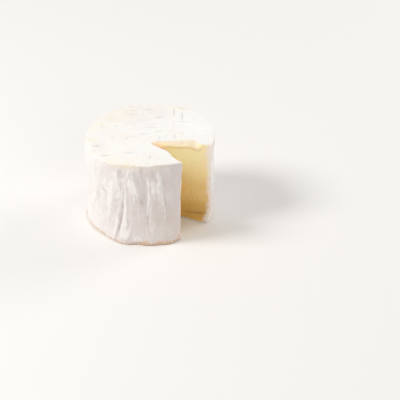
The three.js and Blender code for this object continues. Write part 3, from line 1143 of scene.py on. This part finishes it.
def bloomy_rind(mottle, felt):
    material, tree, shader, position = new_material("bloomy_rind", (0.9, 0.88, 0.85))
    clouds = group_node(tree, mottle, position, Scale=95.0, Low=0.44, High=0.66).outputs["Patches"]
    cream = group_node(tree, mottle, position, Scale=42.0, Low=0.5, High=0.72).outputs["Patches"]
    flecks = group_node(tree, mottle, position, Scale=520.0, Low=0.57, High=0.72).outputs["Patches"]

    # The wall: thin bloom, partly darkened as painted shade, whitened by thick bloom and by painted light
    # on the lamp side
    color = mixed(tree, attribute(tree, "bloom_and_light"), mixed(tree, clouds, *THIN_BLOOM_AND_SHADE), THICK_BLOOM)
    # Painted shade in the wall's creases, furrows and pits
    color = laid_over(tree, color, attribute(tree, "groove_and_shade"), *SHADE_IN_GROOVES)
    white_top = laid_over(tree, TOP_WHITE, cream, *TOP_CREAM)
    white_top = mixed(tree, attribute(tree, "dusky"), white_top, TOP_DUSKY)
    white_top = mixed(tree, attribute(tree, "blanched"), white_top, TOP_BLANCHED)
    color = mixed(tree, attribute(tree, "topside"), color, white_top)
    color = laid_over(tree, color, attribute(tree, "yellowed"), *TOP_YELLOWED)
    color = laid_over(tree, color, flecks, *FLECK)
    color = laid_over(tree, color, attribute(tree, "dent"), *IN_DENTS)
    tan = mixed(tree, spread(tree, level_of(tree, position), *TAN_LEVELS), *TAN_SKIN)
    color = laid_over(tree, color, attribute(tree, "bare"), TAN_SHARE, tan)

    nap = group_node(tree, felt, position, Scale=1300.0, Height=0.00035)
    lumps = group_node(tree, felt, position, Scale=420.0, Height=0.0006)
    surface_of(tree, shader, color, (nap, lumps), RIND_BUMP)
    gloss_of(tree, shader, nap.outputs["Pile"], RIND_ROUGHNESS, RIND_SETTINGS)
    return material


def soft_paste(mottle, felt):
    material, tree, shader, position = new_material("soft_paste", (0.93, 0.8, 0.5))
    level = level_of(tree, position)
    clouds = group_node(tree, mottle, position, Scale=110.0, Low=0.4, High=0.66).outputs["Patches"]
    # Painted shade over a slight real deepening: the paste darkens to brown-gold towards its foot
    color = mixed(tree, spread(tree, level, *PASTE_LOW_LEVELS), *PASTE_LOW_AND_SHADE)
    color = mixed(tree, spread(tree, level, *PASTE_HIGH_LEVELS), color, PASTE_HIGH)
    color = laid_over(tree, color, clouds, *PASTE_CLOUD)
    color = mixed(tree, spread(tree, level, *PASTE_FOOT_LEVELS), PASTE_FOOT, color)
    # On the near face the painted shade is laid partly towards a mid paste colour
    color = laid_over(tree, color, attribute(tree, "near"), *PASTE_NEAR)
    near_rind = spread(tree, attribute(tree, "paste_depth"), *FRINGE_DEPTHS)
    high = math_node(tree, "MULTIPLY", spread(tree, level, *FRINGE_LEVELS), FRINGE_SHARE)
    color = mixed(tree, math_node(tree, "MULTIPLY", near_rind, high), color, PASTE_FRINGE)
    color = mixed(tree, attribute(tree, "skin"), color, RIND_EDGE_TINT)
    color = mixed(tree, attribute(tree, "torn"), color, TORN_TINT)
    color = laid_over(tree, color, attribute(tree, "lip"), *LIP_TINT)
    color = laid_over(tree, color, attribute(tree, "glow"), *GLOW_TINT)
    # Painted shade in the creases under the ledge and over the foot
    color = laid_over(tree, color, attribute(tree, "crease"), *CREASE_SHADE_TINT)

    grain = group_node(tree, felt, position, Scale=1100.0, Height=0.00006)
    curds = group_node(tree, felt, position, Scale=330.0, Height=0.0002)
    surface_of(tree, shader, color, (grain, curds), PASTE_BUMP)
    gloss_of(tree, shader, curds.outputs["Pile"], PASTE_ROUGHNESS, PASTE_SETTINGS)
    return material


# The stage
FLOOR_HALF = 3.0
FLOOR_COLOR = (0.9, 0.89, 0.875)
CAMERA_AT = (0.03065, -0.9623, 0.59422)
CAMERA_DOWN = 31.37
CAMERA_LENS = 162.9
CAMERA_SENSOR = 36.0
LIGHTS_AIM = Vector((0, 0, 0.03))
ROOM_COLOR = (1.0, 0.99, 0.98)
ROOM_LIGHT = 0.54

# Soft studio light: name, direction, height, distance, size, power, colour
LIGHTS = [
    ("window", -170, 43, 1.3, 0.5, 9.2, (1.0, 0.99, 0.97)),
    ("right_card", 30, 20, 1.2, 0.7, 5.2, (1.0, 0.97, 0.93)),
    ("front_card", -66, 28, 1.4, 0.8, 2.0, (1.0, 0.98, 0.95)),
]


def plain_floor():
    bm = bmesh.new()
    bmesh.ops.create_grid(bm, x_segments=1, y_segments=1, size=FLOOR_HALF)
    floor = mesh_object("floor", bm)
    material, _, shader, _ = new_material("pale_floor", FLOOR_COLOR)
    shader.inputs["Base Color"].default_value = (*FLOOR_COLOR, 1)
    shader.inputs["Roughness"].default_value = 0.9
    shader.inputs["Specular IOR Level"].default_value = 0.1
    floor.data.materials.append(material)


def point_camera():
    camera = bpy.data.cameras.new("view")
    camera.lens = CAMERA_LENS
    camera.sensor_width = CAMERA_SENSOR
    camera.clip_start = 0.01
    camera.clip_end = 20.0
    eye = bpy.data.objects.new("view", camera)
    eye.location = CAMERA_AT
    eye.rotation_euler = (math.radians(90 - CAMERA_DOWN), 0, 0)
    bpy.context.scene.collection.objects.link(eye)
    bpy.context.scene.camera = eye


def light_room():
    for name, turn, rise, distance, size, energy, color in LIGHTS:
        light = bpy.data.lights.new(name, "AREA")
        light.shape = "DISK"
        light.size = size
        light.energy = energy
        light.color = color
        lamp = bpy.data.objects.new(name, light)
        level = distance * math.cos(math.radians(rise))
        lamp.location = (*(heading(turn) * level), distance * math.sin(math.radians(rise)))
        lamp.rotation_euler = (LIGHTS_AIM - lamp.location).to_track_quat("-Z", "Y").to_euler()
        bpy.context.scene.collection.objects.link(lamp)

    world = bpy.data.worlds.new("soft_room")
    world.use_nodes = True
    room = world.node_tree.nodes["Background"]
    room.inputs["Color"].default_value = (*ROOM_COLOR, 1)
    room.inputs["Strength"].default_value = ROOM_LIGHT
    bpy.context.scene.world = world
    bpy.context.scene.view_settings.view_transform = "Standard"


def make_cheese():
    mesh = finish_surface(cut_and_grained(turned_wheel(), wedge_cutter()))
    cheese = bpy.data.objects.new("cut_wheel", mesh)
    bpy.context.scene.collection.objects.link(cheese)
    mottle, felt = make_mottle(), make_felt()
    mesh.materials.append(bloomy_rind(mottle, felt))
    mesh.materials.append(soft_paste(mottle, felt))
    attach(cheese, "root")
    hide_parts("cheese")


point_camera()
light_room()
plain_floor()
make_cheese()
